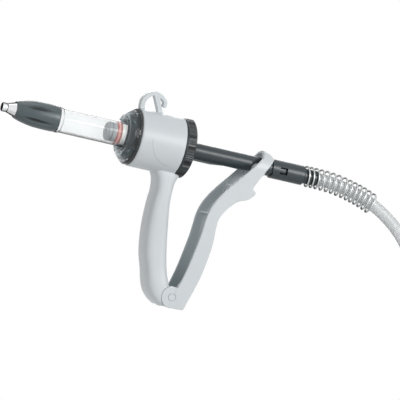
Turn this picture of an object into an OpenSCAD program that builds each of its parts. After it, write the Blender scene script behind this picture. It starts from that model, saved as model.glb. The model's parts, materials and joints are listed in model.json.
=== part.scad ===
// Tube-fed drench gun: clear dosing barrel, squeeze lever, dose ring, nozzle and feed hose.
// X runs along the barrel from nozzle to hose, Z is up, and the origin is the crown of the hook eye.

/* [Hook] */
// Height of the hook eye's crown above the barrel axis
eye_rise = 38; // [36:0.5:42]
// Distance of the hook eye behind the drum's front face
hook_set = 10; // [9:0.5:14]
// Thickness of the hook strap
strap_t = 4.2; // [3.4:0.1:4.6]
// Width of the hook strap across the body
strap_w = 6; // [4:0.5:9]

/* [Drum] */
// Outer diameter of the drum
drum_d = 50.6; // [49:0.2:52]
// Length of the drum
drum_len = 40.5; // [39:0.5:46]
// Wall of the drum
drum_wall = 3.2; // [2.8:0.1:3.6]
// Length of the front lip that takes the bell
lip_len = 4; // [3:0.5:6]

/* [Barrel] */
// Outer diameter of the barrel
barrel_d = 21.8; // [21:0.1:22.2]
// Bore of the barrel
barrel_bore = 17.5; // [17.2:0.1:17.8]
// Distance from the drum's front face to the barrel's front end
barrel_reach = 76; // [72:1:84]
// Wall of the threaded spigot at the barrel's front
spigot_wall = 0.85; // [0.7:0.05:1]
// Width of the collar behind the nozzle cap
collar_w = 2.4; // [1.5:0.1:4]
// Thickness of the barrel's rear flange
flange_t = 2; // [1.5:0.1:3]
// Distance of the rear flange in front of the drum's front face
flange_set = 5.5; // [5:0.1:7]

/* [Bell] */
// Length of the bell in front of its gasket
bell_len = 9.2; // [8:0.2:12]
// Outer diameter of the bell's dome at its rear
bell_d = 49.4; // [47:0.2:49.8]
// Step from the drum's outside down to the bell's rim and its gasket
bell_step = 0.6; // [0.4:0.1:1.2]
// Wall of the bell
bell_wall = 2.2; // [1.6:0.1:2.6]
// Thickness of the black gasket between bell and drum
gasket_t = 1.8; // [1:0.1:2.5]

/* [Nozzle] */
// Length of the nozzle in front of the cap
nozzle_out = 11.5; // [10:0.5:16]
// Diameter of the nozzle's tip
tip_d = 7.8; // [7:0.1:8.4]
// Length of the straight tip
tip_len = 3.4; // [3:0.1:4.5]
// Bore of the nozzle
nozzle_bore = 3.2; // [2.4:0.1:4]
// Diameter of the nozzle where it enters the cap
nozzle_d = 12.4; // [11:0.1:13]
// Length of the nozzle cap
cap_len = 38.5; // [36:0.5:44]
// Length of the cap over the barrel's spigot
cap_grip = 6; // [5:0.5:8]
// Height of the cap's widest part above the barrel
cap_proud = 0.7; // [0.5:0.1:1.6]
// Diameter of the cap's front face
cap_front_d = 14.6; // [14:0.1:17]
// Number of flutes round the cap
flute_count = 6; // [4:1:10]

/* [Dose ring] */
// Outer diameter of the dose ring
ring_d = 51.2; // [50:0.2:54]
// Width of the dose ring
ring_w = 9.5; // [7:0.5:11]
// Number of large scallops round the ring
scallop_count = 12; // [8:1:16]
// Number of dose steps inside the ring
step_count = 6; // [4:1:8]

/* [Rod] */
// Outer diameter of the rod tube
tube_d = 14; // [13.4:0.1:14.4]
// Bore of the rod tube
tube_bore = 5.2; // [4:0.2:6]
// Height of the keel under the tube
keel_h = 1.4; // [1:0.1:1.8]
// Width of the keel
keel_w = 4; // [3:0.5:6]
// Distance of the piston's rear in front of the guide bush at rest
piston_set = 1.3; // [0.6:0.1:4.2]
// Length of the piston head
head_len = 7.4; // [7:0.2:9]
// Width of the piston seal
seal_w = 4.5; // [3:0.1:5]
// Width of the piston ring
piston_ring_w = 5; // [4:0.1:6]
// Outer diameter of the hose connector
connector_d = 16.6; // [16.2:0.1:17.2]
// Length of the hose connector
connector_len = 30.4; // [28:0.2:36]
// Distance from the drive lugs to the hose connector
connector_set = 13; // [11:0.5:16]

/* [Lever] */
// Distance of the pivot behind the hook eye
pivot_back = 52; // [50:0.5:54]
// Depth of the pivot below the barrel axis
pivot_drop = 125.7; // [124:0.5:132]
// Distance of the drive lugs behind the hook eye
lug_back = 104; // [103:0.5:108]
// Depth of the drive lugs below the barrel axis
lug_drop = 4; // [3:0.5:5]
// Radius of the drive lugs
lug_r = 5.5; // [4.5:0.1:6]
// Width of the lever at the pivot
lever_w = 28; // [27:0.5:31]
// Width of the lever at its fork
fork_w = 33; // [23:0.5:35]
// Wall of the lever
lever_wall = 2.6; // [2:0.1:3]
// Radius of the lever's pivot ears
ear_r = 9.3; // [8.5:0.1:10]
// Diameter of the pivot pin
pin_d = 4.8; // [4:0.1:5.4]
// Diameter of the pivot pin's head
pin_head_d = 6; // [5.6:0.1:8]
// Width of the front grip
grip_w = 26; // [24:0.5:28]

/* [Springs] */
// Wire of the kink spring
kink_wire = 1.5; // [1:0.1:1.8]
// Outer diameter of the kink spring
kink_d = 18.2; // [17.6:0.1:18.8]
// Reach of the kink spring behind the hose connector
kink_len = 68.6; // [60:0.2:76]
// Curls of the kink spring
kink_curls = 14; // [10:1:15]
// Wire of the lever's return spring
return_wire = 1.6; // [1.2:0.1:1.8]
// Curls of the return spring
return_curls = 4; // [3:1:4]
// Wire of the two valve springs
valve_wire = 0.5; // [0.4:0.05:0.6]

/* [Hose] */
// Outer diameter of the hose
hose_d = 10.5; // [10:0.1:10.8]
// Bore of the hose
hose_bore = 7; // [6:0.1:7.4]
// Outer diameter of the hose ferrule
ferrule_d = 13; // [12.6:0.1:13.4]
// Length of the ferrule behind the connector
ferrule_len = 13.4; // [10:0.2:18]

/* [Clearances] */
// Radial clearance of a sliding or turning fit
run_fit = 0.05; // [0.02:0.01:0.1]
// Clearance of pieces that are pressed or screwed together
set_fit = 0.03; // [0.01:0.01:0.06]
// Gap between pieces that move past each other
move_gap = 0.3; // [0.25:0.05:0.6]

/* [Hidden] */
$fn = 72;
big = 400;

// Stations along the barrel axis
drum_x0 = -hook_set;
drum_x1 = drum_x0 + drum_len;
ring_x0 = drum_x1 + move_gap;
ring_x1 = ring_x0 + ring_w;
gasket_x0 = drum_x0 - gasket_t;
bell_x0 = gasket_x0 - bell_len;
barrel_x0 = drum_x0 - barrel_reach;
cap_x1 = barrel_x0 + cap_grip;
cap_x0 = cap_x1 - cap_len;
tip_x0 = cap_x0 - nozzle_out;
flange_x0 = drum_x0 - flange_set;
flange_x1 = flange_x0 + flange_t;
bush_flange_t = 2.4;
bush_x1 = flange_x1 + bush_flange_t;
bush_in = 2.2;
tube_x0 = flange_x1 - bush_in - piston_set;
piston_ring_x0 = tube_x0 - piston_ring_w;
seal_x1 = piston_ring_x0 - 0.5;
seal_x0 = seal_x1 - seal_w;
piston_x0 = seal_x0 - head_len;
connector_x0 = lug_back + connector_set;
connector_x1 = connector_x0 + connector_len;

// Radii that follow from the fits
drum_r = drum_d / 2;
drum_in_r = drum_r - drum_wall;
lip_r = drum_in_r - 1.3;
barrel_r = barrel_d / 2;
bore_r = barrel_bore / 2;
spigot_r = bore_r + spigot_wall;
cap_r = barrel_r + cap_proud;
tube_r = tube_d / 2;
keel_r = min(tube_r + keel_h, sqrt(pow(bore_r - 0.1, 2) - pow(keel_w / 2, 2)));
hose_r = hose_d / 2;
pin_r = pin_d / 2;
core_r = bore_r - 2.6;
piston_r = bore_r - 0.5;
flange_r = barrel_r + 1.4;

// Pieces are modelled about the barrel axis and hung from the hook eye
module hung() translate([0, 0, -eye_rise]) children();

// Round bar along X, from x0 to x1
module bar(x0, x1, r0, r1 = undef)
    translate([x0, 0, 0]) rotate([0, 90, 0])
        cylinder(h = x1 - x0, r1 = r0, r2 = is_undef(r1) ? r0 : r1);

// Tube along X
module sleeve(x0, x1, outer, inner)
    difference() {
        bar(x0, x1, outer);
        bar(x0 - 1, x1 + 1, inner);
    }

// Profile of [radius, x] points turned about the barrel axis
module turned(points) rotate([0, 90, 0]) rotate_extrude() polygon(points);

// Outline in X and Z, drawn across Y from y0 to y1
module across(y0, y1) translate([0, y1, 0]) rotate([90, 0, 0]) linear_extrude(y1 - y0) children();

// Smooth curve through points, with steps per stretch
function curve_at(a, b, c, d, t) =
    0.5 * (2 * b + (c - a) * t + (2 * a - 5 * b + 4 * c - d) * t * t
        + (3 * b - a - 3 * c + d) * t * t * t);
function curve(p, steps) = [
    for (i = [0 : len(p) - 2], k = [0 : steps - 1])
        curve_at(p[max(i - 1, 0)], p[i], p[i + 1], p[min(i + 2, len(p) - 1)], k / steps),
    p[len(p) - 1]
];
function reversed(p) = [for (i = [len(p) - 1 : -1 : 0]) p[i]];
function unit(v) = v / norm(v);
function heading(p, i) = unit(p[min(i + 1, len(p) - 1)] - p[max(i - 1, 0)]);
function path_length(p) = len(p) < 2 ? 0 : [for (i = 1, s = 0; i <= len(p);
    s = i < len(p) ? s + norm(p[i] - p[i - 1]) : s, i = i + 1) s][len(p) - 1];

// Strip along a path in the plane, as thick as t0 at its start and t1 at its end
function strip_edge(p, t0, t1, side) = [
    for (i = [0 : len(p) - 1]) let (t = t0 + (t1 - t0) * i / (len(p) - 1))
        p[i] + side * t / 2 * [-heading(p, i)[1], heading(p, i)[0]]
];
function strip(p, t0, t1) = concat(strip_edge(p, t0, t1, 1), reversed(strip_edge(p, t0, t1, -1)));

// Closed solid through rings of equal count
module skin(rings) {
    n = len(rings[0]);
    m = len(rings);
    polyhedron(
        points = [for (r = rings, p = r) p],
        faces = concat(
            [for (k = [1 : n - 2]) [0, k, k + 1]],
            [for (i = [0 : m - 2], k = [0 : n - 1], s = [0, 1])
                s == 0 ? [i * n + k, (i + 1) * n + (k + 1) % n, i * n + (k + 1) % n]
                    : [i * n + k, (i + 1) * n + k, (i + 1) * n + (k + 1) % n]],
            [for (k = [1 : n - 2]) [(m - 1) * n, (m - 1) * n + k + 1, (m - 1) * n + k]]
        )
    );
}

// Round tube of radius r swept along a path in space
function side_of(t) = abs(t[1]) > 0.8 ? unit(cross(t, [1, 0, 0])) : unit(cross(t, [0, 1, 0]));
function frames(p) = [
    for (i = 0, s = side_of(heading(p, 0)); i < len(p); i = i + 1,
        s = i < len(p) ? unit(s - (s * heading(p, i)) * heading(p, i)) : s)
        [heading(p, i), s]
];
function tube_rings(p, r, sides) = [
    let (f = frames(p))
    for (i = [0 : len(p) - 1])
        let (u = f[i][1], v = cross(f[i][0], u))
        [for (k = [0 : sides - 1]) p[i] + r * (cos(360 * k / sides) * u + sin(360 * k / sides) * v)]
];
module wire(p, r, sides) skin(tube_rings(p, r, sides));

// Least gap between a wire and itself, skipping the next near points
function self_gap(p, r, skip) = min([
    for (i = [0 : len(p) - 1 - skip], j = [i + skip : len(p) - 1]) norm(p[i] - p[j])
]) - 2 * r;

// Front grip: stations of [height, centre, half depth, half width] from drum to foot
grip_half = grip_w / 2;
foot_half = lever_w / 2;
pivot = [pivot_back, -pivot_drop];
lug = [lug_back, -lug_drop];
grip_top = drum_x1 - 5;
grip_stations = [
    [-drum_in_r + 2, grip_top - 1, 14, grip_half - 1],
    [-drum_r + 0.5, grip_top - 0.4, 11.6, grip_half - 0.6],
    [-drum_r - 5, grip_top, 9, grip_half - 0.3],
    [-drum_r - 14, grip_top + 0.3, 7.9, grip_half - 0.1],
    [pivot[1] + 75.7, pivot[0] - 26.3, 8.5, grip_half],
    [pivot[1] + 59.7, pivot[0] - 25.1, 9.9, grip_half],
    [pivot[1] + 44.7, pivot[0] - 23.2, 10.6, grip_half],
    [pivot[1] + 30.7, pivot[0] - 20.5, 10.8, grip_half + 0.1],
    [pivot[1] + 18.7, pivot[0] - 16.8, 10.4, foot_half - 0.6],
    [pivot[1] + 8.7, pivot[0] - 13.1, 11.2, foot_half],
    [pivot[1] + 1, pivot[0] - 8.8, 12, foot_half],
    [pivot[1] - 5, pivot[0] - 4.4, 10.6, foot_half - 0.4],
    [pivot[1] - ear_r + 0.9, pivot[0] - 1.6, 7.8, foot_half - 2]
];
grip_rings = curve(grip_stations, 3);
grip_square = 3.4;
grip_sides = 24;
function rounded(a) = sign(a) * pow(abs(a), 2 / grip_square);
function grip_ring(s) = [
    for (k = [0 : grip_sides - 1]) let (a = 360 * (k + 0.5) / grip_sides)
        [s[1] + s[2] * rounded(cos(a)), -s[3] * rounded(sin(a)), s[0]]
];

// Cells cored out of the grip's rear face, with cross ribs between
core_half = 6.5;
core_depth = 11;
core_rib = 1.8;
core_cells = 5;
core_top = -drum_r - 11;
core_bottom = pivot[1] + 16;
function grip_near(z) = let (d = [for (s = grip_rings) abs(s[0] - z)])
    [for (i = [0 : len(d) - 1]) if (d[i] == min(d)) grip_rings[i]][0];
function core_floor(z) = [grip_near(z)[1] + grip_near(z)[2] - core_depth, z];
function core_mouth(z) = [grip_near(z)[1] + grip_near(z)[2] + 4, z];

// Hook strap, from its front foot over the eye to the rear curl
strap_tip = strap_t - 1.2;
crown = eye_rise + (strap_t - 0.51) / 2;
hook_path = curve([
    [-hook_set + strap_t / 2 + 0.2, drum_r - 1.6], [-8, crown - 8.2], [-4.8, crown - 2.8], [0, crown],
    [5.8, crown - 0.7], [10.4, crown - 4], [11.8, crown - 7.2], [10.6, crown - 9.4]
], 5);
hook_leg = [[1.9, crown - 0.6], [5.2, crown - 7], [9.6, drum_r - 1.6]];

module body_housing()
    color("gainsboro") hung() difference() {
        union() {
            turned([
                [0, drum_x0], [drum_r - 1, drum_x0], [drum_r, drum_x0 + 1],
                [drum_r, drum_x1 - 0.6], [drum_r - 0.6, drum_x1], [0, drum_x1]
            ]);
            skin([for (s = grip_rings) grip_ring(s)]);
            translate([pivot[0], foot_half, pivot[1]]) rotate([90, 0, 0])
                cylinder(h = 2 * foot_half, r = ear_r - 0.6);
            across(-strap_w / 2, strap_w / 2) polygon(strip(hook_path, strap_t, strap_tip));
            across(-strap_w / 2, strap_w / 2) polygon(strip(hook_leg, strap_t, strap_t));
        }
        bar(drum_x0 - 1, drum_x1 + 1, lip_r);
        bar(drum_x0 + lip_len, drum_x1 + 1, drum_in_r);
        bar(drum_x1, big, ring_r + move_gap);
        bar(bead_x0 - move_gap, bead_x1 + move_gap, bead_r + move_gap);
        for (side = [-1, 1])
            translate([pivot[0], side * (boss_half + big / 2), pivot[1]]) rotate([90, 0, 0])
                cylinder(h = big, r = ear_r + move_gap, center = true);
        translate([pivot[0], 0, pivot[1]]) rotate([90, 0, 0])
            cylinder(h = big, r = pin_r + set_fit, center = true);
        across(-coil_half, coil_half) polygon([
            pivot + [-slot_r, 0], core_floor(core_bottom + 2), core_mouth(core_bottom + 2),
            pivot + [big, slot_r + 2], pivot + [big, -slot_r], pivot + [0, -slot_r]
        ]);
        translate([pivot[0], 0, pivot[1]]) rotate([90, 0, 0])
            cylinder(h = 2 * coil_half, r = slot_r, center = true);
        for (i = [0 : core_cells - 1]) {
            cell = (core_top - core_bottom) / core_cells;
            z0 = core_bottom + i * cell;
            z1 = z0 + cell - core_rib;
            across(-core_half, core_half) polygon([
                core_floor(z0), core_mouth(z0), core_mouth(z1), core_floor(z1), core_floor((z0 + z1) / 2)
            ]);
        }
    }

// Clear bell that holds the barrel against the drum
socket_r = barrel_r + bell_wall;
nest_r = flange_r + set_fit;
bell_rim = bell_d / 2;
rim_r = drum_r - bell_step;
dome = curve([
    [barrel_r + set_fit, flange_x0 - 1.6], [socket_r + 0.2, bell_x0 + 1.5], [socket_r + 2.6, bell_x0 + 0.2],
    [socket_r + 5.2, bell_x0 + 1.3], [bell_rim - 2.6, gasket_x0 - 4.4], [bell_rim, gasket_x0 - 1.2]
], 5);
module barrel_bell()
    color([0.35, 0.38, 0.4, 0.5]) hung() turned(concat(
        dome,
        [
            [rim_r, gasket_x0], [lip_r - set_fit, gasket_x0], [lip_r - set_fit, drum_x0 + lip_len],
            [lip_r - bell_wall, drum_x0 + lip_len], [lip_r - bell_wall, gasket_x0 - 1],
            [socket_r + 4.4, bell_x0 + bell_wall + 1.6], [nest_r + bell_wall, flange_x0 - 1],
            [nest_r + bell_wall, bush_x1], [nest_r, bush_x1], [nest_r, flange_x0],
            [barrel_r + set_fit, flange_x0]
        ]
    ));

module bell_gasket()
    color("dimgray") hung() sleeve(gasket_x0, drum_x0, rim_r - 0.2, lip_r + set_fit);

// Collar behind the cap, with a groove after it
collar_x1 = cap_x1 + move_gap + collar_w;
groove_w = 0.8;
module barrel()
    color([0.85, 0.9, 0.92, 0.4]) hung() difference() {
        union() {
            bar(barrel_x0, flange_x1, spigot_r);
            bar(collar_x1 + groove_w, flange_x1, barrel_r);
            bar(cap_x1 + move_gap, collar_x1, barrel_r + 0.5);
            bar(collar_x1 - 0.1, collar_x1 + groove_w + 0.1, barrel_r - groove_w);
            bar(flange_x0, flange_x1, flange_r);
        }
        bar(barrel_x0 - 1, flange_x1 + 1, bore_r);
    }

// Keyed bush that closes the barrel behind the piston and keeps the rod from turning
module guide_bush()
    color("darkslategray") hung() difference() {
        union() {
            bar(flange_x1, bush_x1, flange_r);
            bar(flange_x1 - bush_in, bush_x1, bore_r - set_fit);
        }
        bar(flange_x1 - bush_in - 1, bush_x1 + 1, tube_r + run_fit);
        translate([flange_x1 - bush_in - 1, -keel_w / 2 - move_gap, -keel_r - 0.1])
            cube([bush_in + bush_flange_t + 2, keel_w + 2 * move_gap, keel_r]);
    }

// Outlet valve: seat on the barrel's front end, poppet in the nozzle's skirt
seat_t = 1.6;
seat_bore = 3;
seal_t = 1.2;
seat_x1 = barrel_x0 - seal_t;
seat_x0 = seat_x1 - seat_t;
skirt_len = 12;
skirt_x0 = seat_x0 - skirt_len;
chamber_r = 6;
skirt_r = spigot_r - 1.1;
poppet_r = 4.6;
poppet_t = 1.6;
stem_r = 1.3;
valve_lift = 1.5;

module valve_seat()
    color("whitesmoke") hung() sleeve(seat_x0, seat_x1, skirt_r, seat_bore);

module cap_seal()
    color("firebrick") hung() sleeve(seat_x1, barrel_x0, spigot_r - set_fit, bore_r - 1.6);

module nozzle()
    color("silver") hung() difference() {
        union() {
            bar(tip_x0, tip_x0 + 0.4, tip_d / 2 - 0.4, tip_d / 2);
            bar(tip_x0 + 0.4, tip_x0 + tip_len, tip_d / 2);
            bar(tip_x0 + tip_len, tip_x0 + tip_len + 1.2, tip_d / 2 - 0.7);
            bar(tip_x0 + tip_len + 1.2, cap_x0, tip_d / 2 + 0.1, nozzle_d / 2);
            bar(cap_x0, skirt_x0, nozzle_d / 2);
            bar(skirt_x0, seat_x0, skirt_r);
        }
        bar(tip_x0 - 1, seat_x0 + 1, nozzle_bore / 2);
        bar(skirt_x0 + 3.4, seat_x0 + 1, chamber_r);
        bar(skirt_x0 - 1, skirt_x0 + 3.4, stem_r + 1.2);
    }

module outlet_valve()
    color("whitesmoke") hung() union() {
        bar(seat_x0 - poppet_t, seat_x0, poppet_r);
        bar(seat_x0 - poppet_t - 5, seat_x0 - poppet_t, stem_r);
    }

// Coiled wire along X between two faces
function coil_points(x0, x1, r, curls) = [
    for (i = [0 : 8 * curls]) let (a = 360 * i / 8)
        [x0 + (x1 - x0) * i / (8 * curls), r * cos(a), r * sin(a)]
];
valve_curls = 3;
outlet_spring_path = coil_points(skirt_x0 + 3.4 + valve_wire / 2 + 0.1,
    seat_x0 - poppet_t - valve_wire / 2 - 0.1, stem_r + 1.4, valve_curls);
module outlet_spring()
    color("silver") hung() wire(outlet_spring_path, valve_wire / 2, 6);

// Fluted nozzle cap
cap_profile = curve([
    [cap_front_d / 2, cap_x0 + 0.6], [cap_front_d / 2 + 1.6, cap_x0 + 5.5], [cap_r - 0.6, cap_x0 + 16],
    [cap_r, cap_x0 + 25], [cap_r - 0.1, cap_x1 - 4], [cap_r - 0.5, cap_x1 - 0.5]
], 4);
flute_r = 2.4;
flute_depth = 1.3;
flute_tilt = 5;
module nozzle_cap()
    color("dimgray") hung() difference() {
        turned(concat(
            [[nozzle_d / 2 + set_fit, cap_x0], [cap_front_d / 2 - 0.5, cap_x0]],
            cap_profile,
            [
                [cap_r - 0.9, cap_x1], [spigot_r + set_fit, cap_x1], [spigot_r + set_fit, seat_x1 - 0.2],
                [skirt_r + set_fit, seat_x1 - 0.2], [skirt_r + set_fit, skirt_x0],
                [nozzle_d / 2 + set_fit, skirt_x0]
            ]
        ));
        for (i = [0 : flute_count - 1])
            rotate([360 * i / flute_count, 0, 0])
                translate([cap_x0 + 17, 0, cap_r - 0.5 + flute_r - flute_depth])
                    rotate([0, 90 - flute_tilt, 0]) cylinder(h = 2 * cap_len, r = flute_r, center = true);
    }

// Dose ring: scalloped and ribbed rim, front spigot that snaps into the drum, stepped stop inside
spigot_len = 6;
bead_x0 = drum_x1 - 4.6;
bead_x1 = bead_x0 + 1.6;
sleeve_r = drum_in_r - 2.4;
bead_r = drum_in_r + 0.7;
cam_out = keel_r + 3.6;
cam_in = keel_r + 0.9;
cam_x0 = ring_x0 + 1.4;
cam_step = (ring_w - 4) / step_count;
step_turn = 360 / step_count;
ring_r = ring_d / 2;
scallop_r = 4.2;
rib_groove_r = 0.55;
ribs_between = 3;
module dose_ring()
    color([0.16, 0.17, 0.18]) hung() difference() {
        turned([
            [sleeve_r, drum_x1 - spigot_len], [drum_in_r - run_fit, drum_x1 - spigot_len],
            [drum_in_r - run_fit, bead_x0], [bead_r, bead_x0 + 0.4], [bead_r, bead_x1 - 0.4],
            [drum_in_r - run_fit, bead_x1], [drum_in_r - run_fit, ring_x0], [ring_r - 0.8, ring_x0],
            [ring_r, ring_x0 + 1], [ring_r, ring_x1 - 1.6], [ring_r - 2.2, ring_x1], [cam_in, ring_x1],
            [cam_in, cam_x0], [sleeve_r, cam_x0]
        ]);
        for (i = [1 : step_count - 1])
            rotate([90 + (i - 0.5) * step_turn, 0, 0]) step_cut(cam_x0 + i * cam_step);
        for (i = [0 : scallop_count - 1]) {
            rotate([360 * i / scallop_count, 0, 0])
                bar_at(ring_x0 + 1.5, ring_x1 + 1, ring_r + scallop_r - 1.4, scallop_r);
            for (k = [0 : ribs_between - 1])
                rotate([360 * (i + 0.5 + 0.13 * (k - 1)) / scallop_count, 0, 0])
                    bar_at(ring_x0 + 1.5, ring_x1 + 1, ring_r + 0.15, rib_groove_r);
        }
    }
// One dose step: a sector of the stop's face, cut to its own depth
module step_cut(x1)
    seen_from_front(cam_x0 - 0.5, x1) polygon([
        for (r = [cam_in - 0.5, cam_out], k = [0 : 6])
            let (a = step_turn * (r < cam_in ? k : 6 - k) / 6.3)
            r * [cos(a), sin(a)]
    ]);
module bar_at(x0, x1, height, r)
    translate([x0, 0, height]) rotate([0, 90, 0]) cylinder(h = x1 - x0, r = r, $fn = 16);

// Hollow rod with keel and the flats that the lever's lugs drive
keel_x1 = ring_x1 + 22.5;
keel_ramp = 14;
flat_half = 4.6;
flat_x0 = lug_back - lug_r - 0.4;
flat_x1 = lug_back + lug_r + 0.9;
tube_x1 = connector_x0 + 11;
neck_r = 5.4;
stem_bore = 4;
coupler_stem = 9;
module rod_tube()
    color([0.24, 0.26, 0.28]) hung() difference() {
        union() {
            bar(tube_x0, connector_x0 + 1, tube_r);
            bar(connector_x0, tube_x1, neck_r);
            across(-keel_w / 2, keel_w / 2) polygon([
                [tube_x0, 0], [tube_x0, -keel_r], [keel_x1, -keel_r],
                [keel_x1 + keel_ramp, -tube_r + 0.2], [keel_x1 + keel_ramp, 0]
            ]);
        }
        bar(tube_x0 - 1, tube_x1 + 1, tube_bore / 2);
        bar(tube_x0 - 1, tube_x0 + coupler_stem, stem_bore + set_fit);
        for (side = [-1, 1])
            translate([flat_x0, side * (flat_half + big / 2) - big / 2, -big / 2])
                cube([flat_x1 - flat_x0, big, big]);
    }

// Collar on the rod, with the lug that meets the dose steps
collar_t = 2.6;
stop_x1 = cam_x0 - move_gap;
stop_lug_w = 7;
module stop_collar()
    color("slategray") hung() difference() {
        union() {
            bar(stop_x1 - collar_t, stop_x1, cam_in - 0.4);
            translate([stop_x1 - collar_t, -stop_lug_w / 2, 0])
                cube([collar_t, stop_lug_w, cam_out - 0.5]);
        }
        bar(stop_x1 - collar_t - 1, stop_x1 + 1, tube_r + set_fit);
        translate([stop_x1 - collar_t - 1, -keel_w / 2 - set_fit, -keel_r - set_fit])
            cube([collar_t + 2, keel_w + 2 * set_fit, keel_r]);
    }

// Piston: coupler screwed into the rod, seal, ring and valve head
inlet_bore = 2.5;
module piston_coupler()
    color("darkslategray") hung() difference() {
        union() {
            bar(seal_x0, tube_x0, core_r);
            bar(tube_x0, tube_x0 + coupler_stem, stem_bore);
        }
        bar(seal_x0 - 1, tube_x0 + coupler_stem + 1, inlet_bore);
    }

head_front = 1.8;
head_room = 5;
module piston_head()
    color([0.6, 0.63, 0.65]) hung() difference() {
        union() {
            bar(piston_x0, piston_x0 + 1, piston_r - 1, piston_r);
            bar(piston_x0 + 1, piston_x0 + 2.6, piston_r);
            bar(piston_x0 + 2.6, piston_x0 + 3.8, piston_r - 0.9);
            bar(piston_x0 + 3.8, seal_x0, piston_r);
        }
        bar(piston_x0 + head_front, seal_x0 + 1, head_room);
        bar(piston_x0 - 1, seal_x0, stem_r + run_fit);
        for (i = [0 : 5])
            rotate([60 * i, 0, 0]) translate([piston_x0 - 1, 0, 3.6]) rotate([0, 90, 0])
                cylinder(h = head_front + 2, r = 0.9, $fn = 24);
    }

module piston_seal()
    color([0.72, 0.4, 0.36]) hung() turned([
        [core_r + set_fit, seal_x0], [bore_r - 0.4, seal_x0], [bore_r - run_fit, seal_x0 + 0.5],
        [bore_r - run_fit, seal_x0 + 1.4], [bore_r - 0.6, seal_x0 + 1.9],
        [bore_r - 0.6, seal_x1 - 1.9], [bore_r - run_fit, seal_x1 - 1.4],
        [bore_r - run_fit, seal_x1 - 0.5], [bore_r - 0.4, seal_x1], [core_r + set_fit, seal_x1]
    ]);

module piston_ring()
    color("ivory") hung() difference() {
        union() {
            bar(seal_x1, piston_ring_x0, bore_r - 1.1);
            bar(piston_ring_x0, tube_x0, bore_r - 2 * run_fit);
        }
        bar(seal_x1 - 1, tube_x0 + 1, core_r + set_fit);
        translate([tube_x0 - 1, -keel_w / 2 - set_fit, -keel_r - 1]) cube([2, keel_w + 2 * set_fit, 3]);
    }

inlet_disc_r = 3.9;
inlet_disc_t = 1.3;
inlet_stem = 4.4;
module inlet_valve()
    color("whitesmoke") hung() union() {
        bar(seal_x0 - inlet_disc_t, seal_x0, inlet_disc_r);
        bar(seal_x0 - inlet_disc_t - inlet_stem, seal_x0 - inlet_disc_t, stem_r);
    }

inlet_spring_path = coil_points(piston_x0 + head_front + valve_wire / 2 + 0.1,
    seal_x0 - inlet_disc_t - valve_wire / 2 - 0.1, stem_r + 1.2, valve_curls);
module inlet_spring()
    color("silver") hung() wire(inlet_spring_path, valve_wire / 2, 6);

// Hose end: barb between rod and hose, sealed in the rod, covered by the connector
barb_flange = 3;
barb_nose = 7;
barb_tail = 22;
barb_x1 = tube_x1 + barb_flange;
barb_r = hose_bore / 2 - 0.06;
nose_r = tube_bore / 2 - run_fit;
module hose_barb()
    color("dimgray") hung() difference() {
        union() {
            bar(tube_x1 - barb_nose, tube_x1, nose_r);
            bar(tube_x1, barb_x1, neck_r);
            for (i = [0 : 3])
                bar(barb_x1 + i * barb_tail / 4, barb_x1 + (i + 1) * barb_tail / 4, barb_r, barb_r - 0.7);
        }
        bar(tube_x1 - barb_nose - 1, barb_x1 + barb_tail + 1, 1.5);
        sleeve(tube_x1 - 4.4, tube_x1 - 3, nose_r + 1, nose_r - 0.7);
    }

module barb_seal()
    color("black") hung()
        sleeve(tube_x1 - 4.4 + set_fit, tube_x1 - 3 - set_fit, nose_r, nose_r - 0.7 + set_fit);

window_w = 6;
window_len = 7;
window_set = 7;
tongue_w = 3;
wave_r = 3.4;
module hose_connector()
    color([0.24, 0.26, 0.28]) hung() difference() {
        union() {
            bar(connector_x0, connector_x0 + 0.6, connector_d / 2 - 0.6, connector_d / 2);
            bar(connector_x0 + 0.6, connector_x1 - 0.6, connector_d / 2);
            bar(connector_x1 - 0.6, connector_x1, connector_d / 2, connector_d / 2 - 0.6);
        }
        bar(connector_x0 - 1, barb_x1, neck_r + set_fit);
        bar(connector_x0 - 1, connector_x0 + 1 + set_fit, tube_r + set_fit);
        bar(barb_x1 - 0.1, connector_x1 + 1, ferrule_d / 2 + set_fit);
        for (side = [-1, 1])
            across(min(side, side * big), max(side, side * big)) difference() {
                translate([connector_x0 + window_set, -window_w / 2]) square([window_len, window_w]);
                translate([connector_x0 + window_set - 1, -tongue_w / 2])
                    square([window_len - 1.2, tongue_w]);
            }
        for (a = [0 : 120 : 240])
            rotate([a, 0, 0]) translate([connector_x0 - wave_r + 1.2, 0, 0])
                cylinder(h = big, r = wave_r);
    }

ferrule_x1 = connector_x1 + ferrule_len;
module hose_ferrule()
    color("dimgray") hung() difference() {
        union() {
            bar(barb_x1, ferrule_x1 - 1, ferrule_d / 2);
            bar(ferrule_x1 - 1, ferrule_x1, ferrule_d / 2, ferrule_d / 2 - 0.5);
        }
        bar(barb_x1 - 1, ferrule_x1 + 1, hose_r + set_fit);
    }

// Route of the hose from the barb to its coil, in X and Z about the barrel axis
route = [for (p = [
    [0, 0], [9, 0], [19, 0], [31, 0], [45, -0.8], [59, -3.2], [71, -6.2], [83, -10.5],
    [95.6, -16.8], [108.2, -25.2], [120.4, -36.6], [131.2, -51], [139.8, -67.4], [146.4, -86], [151, -106],
    [154, -128], [155, -150], [155, -174], [155, -200], [155, -228], [155, -256]
]) [barb_x1, 0] + p];
route_end = route[len(route) - 1];
function in_space(p) = [for (q = p) [q[0], 0, q[1]]];
hose_path = in_space(curve(route, 2));
module hose()
    color([0.86, 0.88, 0.88, 0.6]) hung() difference() {
        wire(hose_path, hose_r, 12);
        bar(route[0][0] - 1, barb_x1 + barb_tail + 1, hose_bore / 2);
    }

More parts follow.
